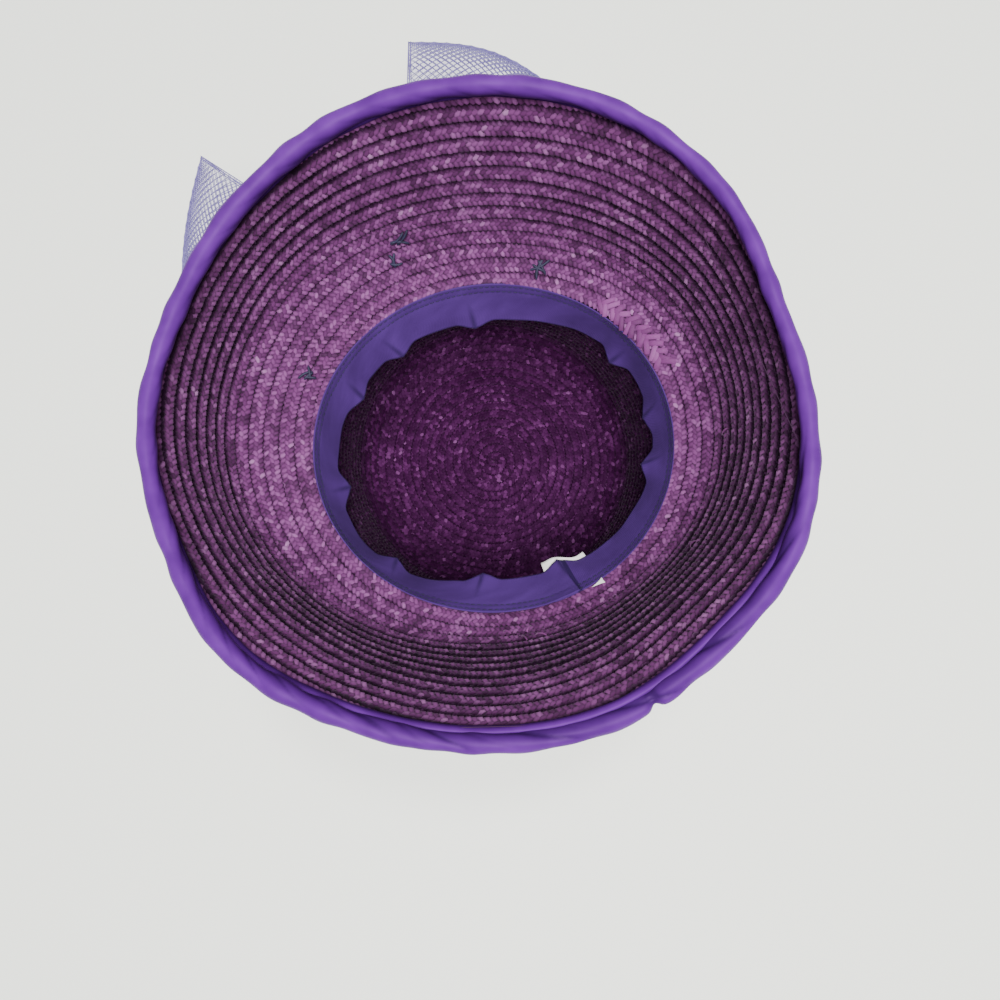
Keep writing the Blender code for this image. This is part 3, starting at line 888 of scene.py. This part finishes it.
def sweatband():
    """The ribbon inside the head opening: creased at its folds, its ends lapped at one seam."""
    start = BAND_SEAM_DEG - 9.0
    direction = np.linspace(start, BAND_SEAM_DEG + 360.0, 900)[None, :]
    down = np.linspace(0.0, 1.0, 22)[:, None]
    lapped = np.maximum(direction - BAND_SEAM_DEG - 350.0, 0.0) / 10.0
    direction = direction - SEAM_SLANT_DEG * down * lapped
    down = down + 0 * direction
    over = clamp((direction - BAND_SEAM_DEG - 348.0) / 6.0)
    slack = waves(direction, (9, 14, 23)) * BAND_SLACK * down
    creased = band_creases(direction, down)
    stitched = sum(np.exp(-(((down - row) / 0.035) ** 2)) for row in STITCH_ROWS)
    raised = RIBBON_WALL * over + slack + CREASE_LIFT * creased - STITCH_DENT * stitched
    points = band_point(direction, down, raised)
    # Painted shade: at the lapped end and under it, in the creases and in the stitches' dents
    end_shade = 0.9 * clamp((direction - BAND_SEAM_DEG - 359.2) / 0.8)
    under_lap_shade = (direction < start + 9.8) & (direction > start + 8.0)
    painted_shade = np.maximum.reduce((0.75 * creased, end_shade, 0.9 * under_lap_shade, STITCH_SHADE * stitched))
    made = cloth_sheet("grosgrain_band", points, False, grosgrain, painted_shade, RIBBON_SHEET)
    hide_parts("sweatband")


def tubes(name, lines, radius, finish, sides=4):
    """Thin tubes along lines of points, all lines with the same number of points."""
    lines = np.asarray(lines, float)
    onto = unit(np.gradient(lines, axis=1))
    up = np.where(np.abs(onto[..., 2:]) > 0.9, (1.0, 0.0, 0.0), (0.0, 0.0, 1.0))
    side = unit(np.cross(onto, up))
    other = np.cross(onto, side)
    angle = 2 * math.pi * np.arange(sides) / sides
    ring = side[:, :, None] * np.cos(angle)[:, None] + other[:, :, None] * np.sin(angle)[:, None]
    taper = np.ones(lines.shape[1])
    taper[0] = taper[-1] = 0.5
    points = lines[:, :, None] + ring * (radius * taper)[None, :, None, None]
    faces = many_faces(lines.shape[1], sides, True, len(lines))
    return new_piece(name, points, faces, finish)


def band_stitches():
    """Two rows of dark stitches along the sweatband's outer edge."""
    lines = []
    for down in STITCH_ROWS:
        count = round(HEAD_GIRTH / STITCH_PITCH)
        middle = np.arange(count) * 360.0 / count + RANDOM.normal(0.0, 0.05, count)
        along = np.linspace(-0.58, 0.58, 5)[None, :] * 360.0 / count / 1.6
        lift = 0.00012 + 0.00022 * (1 - np.linspace(-1, 1, 5)[None, :] ** 2)
        direction = middle[:, None] + along
        wander = down + 0.006 * waves(direction, (7, 15)) + 0 * along
        lines.append(band_point(direction, wander, lift + 0 * direction))
    tubes("band_stitches", np.concatenate(lines), STITCH_R, navy_thread)


def label():
    """A blank white tape behind the sweatband, whose end curls out past the free edge."""
    half_deg = math.degrees(LABEL_WIDTH / 2 / HEAD_MEAN_R)
    across = np.linspace(-1.0, 1.0, 25)[None, :]
    down = np.linspace(0.30, LABEL_END, 19)[:, None]
    direction = LABEL_DIRECTION + half_deg * across + 0 * down
    past = clamp(down - 0.98)
    spread = 0.35 + 0.55 * across**2 - 0.35 * across
    reach = 1.0 + (down - 1.0) * np.where(down > 1.0, spread, 1.0)
    fold_in = band_fold(direction) - 0.10
    lift = -RIBBON_WALL - 0.0004 - BAND_WIDTH * fold_in * clamp(down) ** 2 * 0.4 + 0.010 * past
    points = band_point(direction, reach, lift + 0 * direction)
    made = cloth_sheet("blank_label", points, False, white_tape, 0.0, TAPE_WALL)
    corner_across = np.linspace(0.0, 1.0, 8)[None, :]
    corner_out = np.linspace(-1.0, 1.0, 6)[:, None]
    corner_direction = 302.5 + 4.3 * corner_across + 0 * corner_out
    corner_arc = 0.0004 + 0.0012 * corner_out * corner_across + 0.0007 * corner_across**4 * corner_out
    corner_points = brim.at(corner_direction, corner_arc, 0.0012 + 0 * corner_direction)
    corner = cloth_sheet("blank_label_corner", corner_points, False, white_tape, 0.0, TAPE_WALL)
    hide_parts("label")


sweatband()
band_stitches()
label()


def loop_corner(loop, end):
    """A corner of a loop's fold: end is "corner" for the one nearer the knot and "end" for the far one."""
    angle = math.radians(BOW_DIRECTION + loop["side"] * loop[end + "_off"])
    away = np.array((math.cos(angle), math.sin(angle)))
    point = HEAD_CENTRE + (HEAD_MEAN_R + LOOP_LENGTH * loop[end + "_reach"]) * away
    return np.append(point, OPENING_Z - FOLD_DROP)


def loop_point(loop, along, share):
    """Points of a loop: along runs from -1 at its upper foot past 0 at the fold to 1 at its lower foot."""
    side = loop["side"]
    knot_off = math.degrees((KNOT_WIDTH / 2 + 2 * CLEARANCE) / (HEAD_MEAN_R + KNOT_ARC))
    direction = BOW_DIRECTION + side * (knot_off + (loop["foot_off"] - knot_off) * share)
    foot_arc = KNOT_ARC + (FAR_FOOT_ARC - KNOT_ARC) * share
    foot = brim.at(direction, foot_arc, -STRAW_WALL - CLEARANCE - NET_WALL)
    near, far = loop_corner(loop, "corner"), loop_corner(loop, "end")
    out = np.cross(far - near, (0.0, 0.0, side))
    out /= np.linalg.norm(out)
    bulge = LOOP_LENGTH * loop["bulge"] * np.sin(math.pi * share)
    fold = near + (far - near) * share[..., None] + out * bulge[..., None]
    onward = 1 - np.abs(along) ** LOOP_FULLNESS
    point = foot + (fold - foot) * onward[..., None]
    thick = LOOP_FOOT_THICK + (LOOP_THICK - LOOP_FOOT_THICK) * np.sin(math.pi * onward)
    point[..., 2] -= np.where(along > 0, thick * np.minimum(1.0, 2 * along), 0.0)
    pleats = np.sin(share * 2 * math.pi * LOOP_PLEATS + 3 * along) * (1 - onward) ** 1.5
    point[..., 2] -= LOOP_PLEAT_DEPTH * pleats
    return point


def loop_strands(loop):
    """The net's crossing strands, as lines across the loop on both slants, and its two thicker edges."""
    long = 2 * LOOP_LENGTH * 0.8
    wide = LOOP_LENGTH * 0.62
    spacing = NET_MESH * math.sqrt(2)
    lines = []
    for slant in (-1, 1):
        for start in np.arange(-wide, long, spacing):
            low, high = max(0.0, -start), min(wide, long - start)
            if high - low < NET_MESH:
                continue
            v = np.linspace(low, high, 15)
            u = start + v
            share = v / wide if slant > 0 else 1 - v / wide
            lines.append(loop_point(loop, 2 * u / long - 1, share))
    return np.array(lines)


net_strand = thread_material("net_strand", (0.11, 0.085, 0.27), (0.18, 0.145, 0.38), 0.45)
net_veil = thread_material("net_veil", (0.24, 0.21, 0.44), (0.34, 0.30, 0.56), 0.5, 0.22)


def net_loop(loop):
    """One wide loop of crin net: a fine veil with heavier crossing strands and corded edges."""
    along = np.linspace(-1.0, 1.0, 61)[:, None] + np.zeros((1, 31))
    share = np.linspace(0.0, 1.0, 31)[None, :] + 0 * along
    points = loop_point(loop, along, share)
    veil = cloth_sheet(loop["name"] + "_net", points, False, net_veil)
    strands = tubes(loop["name"] + "_strands", loop_strands(loop), NET_STRAND_R, net_strand, 3)
    steps = np.linspace(-1.0, 1.0, 49)
    edges = [loop_point(loop, steps, 0 * steps + share) for share in (0.0, 0.012, 0.988, 1.0)]
    cords = tubes(loop["name"] + "_edge_cords", edges, NET_CORD_R, net_strand, 6)
    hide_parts(loop["name"])


def knot():
    """The wrap over the bow's middle: net drawn into pleats round a small rounded pad."""
    direction = np.array([BOW_DIRECTION])
    seat = brim.at(direction, np.array([KNOT_ARC]), -STRAW_WALL - CLEARANCE)[0]
    slope = brim_slope(direction, KNOT_ARC)[0]
    normal = oval(direction, 0 * direction)[1][0]
    along = np.array((*(normal * math.cos(slope)), math.sin(slope)))
    outside = np.array((*(normal * math.sin(slope)), -math.cos(slope)))
    across = np.cross(along, outside)
    turn = np.linspace(0.0, 2 * math.pi, 49)[:-1][None, :]
    rise = np.linspace(-1.0, 1.0, 41)[:, None]
    wide, tall = (np.sign(side) * np.abs(side) ** KNOT_SQUARE for side in (np.cos(turn), np.sin(turn)))
    waist = (1 - np.abs(rise) ** 4) ** 0.5 * (0.94 + 0.06 * rise**2)
    pleat = 1 + 0.045 * np.cos(rise * 22 + 0.5 * np.sin(turn)) + 0.03 * np.cos(rise * 39 + turn)
    x = wide * waist * pleat * KNOT_WIDTH / 2 * 0.96
    z = (tall * waist * pleat * 0.5 * 0.94 + 0.5) * KNOT_HEIGHT
    y = rise * KNOT_LENGTH / 2 + 0 * turn
    points = seat + x[..., None] * across + y[..., None] * along + z[..., None] * outside
    made = cloth_sheet("bow_knot_wrap", points, True, net_wrap)
    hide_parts("bow_knot")


net_wrap = thread_material("net_wrap", (0.15, 0.12, 0.34), (0.26, 0.22, 0.48), 0.5)
knot()
for loop_sizes in table(LOOP_COLUMNS, LOOPS):
    net_loop(loop_sizes)


def brim_spot(x, y):
    """The direction and distance on the brim of a place given in plan."""
    gap = np.linalg.norm(brim.points[..., :2] - np.array((x, y)), axis=-1)
    i, j = np.unravel_index(np.argmin(gap), gap.shape)
    return i * DIRECTION_STEP, brim.first_arc + j * ARC_STEP


TACK_COLUMNS = ("x", "y", "legs", "length")
TACKS = (
    (-0.047, 0.100, 3, 0.0100),
    (-0.050, 0.092, 3, 0.0085),
    (0.027, 0.090, 5, 0.0110),
    (-0.095, 0.032, 4, 0.0080),
)

TACK_R = 0.00070
TACK_SPREAD = 0.0010
TACK_BEND = 0.0012


def tacks():
    """Dark thread tacks that hold the bow: short crossing stitches on the brim's inside."""
    lines = []
    for tack in table(TACK_COLUMNS, TACKS):
        direction, arc = brim_spot(tack["x"], tack["y"])
        for leg in range(tack["legs"]):
            turn = math.pi * leg / tack["legs"] + RANDOM.uniform(-0.7, 0.7)
            aside = RANDOM.normal(0.0, TACK_SPREAD, 2)
            reach = np.linspace(-0.5, 0.5, 9) * tack["length"] * RANDOM.uniform(0.7, 1.1)
            bend = TACK_BEND * np.sin(np.linspace(0, math.pi, 9)) * RANDOM.uniform(-1, 1)
            u, v = turned(reach, bend, turn)
            around = direction + np.degrees((u + aside[0]) / (HEAD_MEAN_R + arc))
            lift = 0.0012 + 0.0010 * np.cos(np.linspace(-1.2, 1.2, 9))
            lines.append(brim.at(around, arc + v + aside[1], lift))
    tubes("thread_tacks", lines, TACK_R, navy_thread, 6)


def straw_strips(name, direction, arc, turn, length, width, lift, finish):
    """Flat strips of straw laid on the brim, given by arrays of places, turns and sizes."""
    a = np.linspace(-0.5, 0.5, 9)[None, :, None]
    b = np.linspace(-0.5, 0.5, 3)[None, None, :]
    each = (direction, arc, turn, length, width, lift)
    direction, arc, turn, length, width, lift = (values[:, None, None] for values in each)
    u, v = turned(length * a, width * b, turn)
    around = direction + np.degrees(u / (HEAD_MEAN_R + arc))
    raised = lift - 0.0012 * (2 * np.abs(a)) ** 3 - 0.0006 * (2 * b) ** 2
    points = brim.at(around, arc + v, raised)
    count = len(direction)
    faces = many_faces(9, 3, False, count)
    fibre = np.stack(np.broadcast_arrays(length * a, width * b, 0 * direction), -1)
    values = {
        "dye": np.repeat(RANDOM.uniform(0.05, 0.65, count), 27),
        "strand": fibre.reshape(-1, 3),
        # Painted shade towards each strip's edges
        "painted_shade": np.broadcast_to(0.5 * np.abs(2 * b) ** 2, fibre.shape[:3]).reshape(-1),
    }
    new_piece(name, points, faces, finish, values)


BRAID_END_PAIRS = 13
BRAID_END_FROM_DEG = 55.0
BRAID_END_RUN_DEG = 27.0


def braid_end():
    """The plait's end at the head opening: wide pale strands fanned over the next row."""
    count = 2 * BRAID_END_PAIRS
    share = np.repeat(np.linspace(0.0, 1.0, BRAID_END_PAIRS), 2)
    upper = np.tile((0.0, 1.0), BRAID_END_PAIRS)
    direction = BRAID_END_FROM_DEG - BRAID_END_RUN_DEG * share - 1.2 * upper + RANDOM.normal(0.0, 0.3, count)
    arc = 0.0022 + 0.0040 * upper + 0.0012 * share + RANDOM.normal(0.0, 0.0003, count)
    turn = np.radians(np.where(upper > 0, 128.0, 52.0) + RANDOM.normal(0.0, 9.0, count))
    length = RANDOM.uniform(0.0070, 0.0092, count)
    width = RANDOM.uniform(0.0024, 0.0032, count)
    lift = 0.0021 + RANDOM.uniform(0.0, 0.0004, count)
    straw_strips("braid_end", direction, arc, turn, length, width, lift, pale_straw)


# Places on the brim in plan, x and y
STRAY_PLACES = (
    (0.009, -0.1000),
    (0.017, -0.1025),
    (0.026, -0.1010),
    (0.117, 0.000),
    (0.099, -0.056),
    (0.021, -0.0985),
)


def stray_ends():
    """Loose ends of straw that stand out of the plait."""
    spots = [brim_spot(x, y) for x, y in STRAY_PLACES]
    direction = np.array([spot[0] for spot in spots])
    arc = np.array([spot[1] for spot in spots])
    count = len(spots)
    turn = RANDOM.uniform(0.2, 2.6, count)
    length = RANDOM.uniform(0.0045, 0.0070, count)
    width = RANDOM.uniform(0.0008, 0.0012, count)
    lift = 0.0024 + RANDOM.uniform(0.0, 0.0006, count)
    straw_strips("stray_straw_ends", direction, arc, turn, length, width, lift, pale_straw)


pale_straw = straw_material(
    "pale_straw",
    (
        (0.0, (0.09, 0.02, 0.085)),
        (0.5, (0.17, 0.04, 0.16)),
        (0.85, (0.27, 0.09, 0.26)),
        (1.0, (0.38, 0.20, 0.37)),
    ),
    patch=0.3,
    gloss=0.10,
)
tacks()
braid_end()
stray_ends()

# Floor, camera and light
FLOOR_SIDE = 6.0
floor_mesh = bpy.data.meshes.new("floor")
half = FLOOR_SIDE / 2
corners = [(-half, -half, 0), (half, -half, 0), (half, half, 0), (-half, half, 0)]
floor_mesh.from_pydata(corners, [], [(0, 1, 2, 3)])
floor = new_object("floor", floor_mesh)
floor_mesh.materials.append(plain_material("floor_paint", (0.93, 0.945, 0.875), 0.6))

CAMERA_PLACE = Vector((0.0147, -0.0625, 0.4867))
CAMERA_TURN = Vector((-0.077, -0.023, 0.0))
CAMERA_LENS_MM = 27.18
camera_data = bpy.data.cameras.new("camera")
camera_data.lens = CAMERA_LENS_MM
camera_data.clip_start = 0.01
camera = new_object("camera", camera_data)
turned = Matrix.Rotation(CAMERA_TURN.length, 4, CAMERA_TURN.normalized()).transposed()
camera.matrix_world = Matrix.Translation(CAMERA_PLACE) @ turned
bpy.context.scene.camera = camera


# Soft discs of light over the hat, in metres and watts
LIGHT_AIM = Vector((0.0, 0.0, 0.1))
WORLD_COLOUR = (0.92, 0.95, 0.93, 1.0)
WORLD_STRENGTH = 0.54


def area_light(name, place, size, power):
    data = bpy.data.lights.new(name, "AREA")
    data.shape = "DISK"
    data.size = size
    data.energy = power
    made = new_object(name, data)
    made.location = place
    made.rotation_euler = (LIGHT_AIM - Vector(place)).to_track_quat("-Z", "Y").to_euler()


area_light("soft_key", place=(0.14, -0.40, 2.0), size=1.2, power=86.0)
area_light("ceiling_lamp", place=(0.16, 0.60, 2.0), size=0.3, power=16.0)
world = bpy.data.worlds.new("studio")
world.use_nodes = True
background = world.node_tree.nodes["Background"].inputs
background["Color"].default_value = WORLD_COLOUR
background["Strength"].default_value = WORLD_STRENGTH
bpy.context.scene.world = world
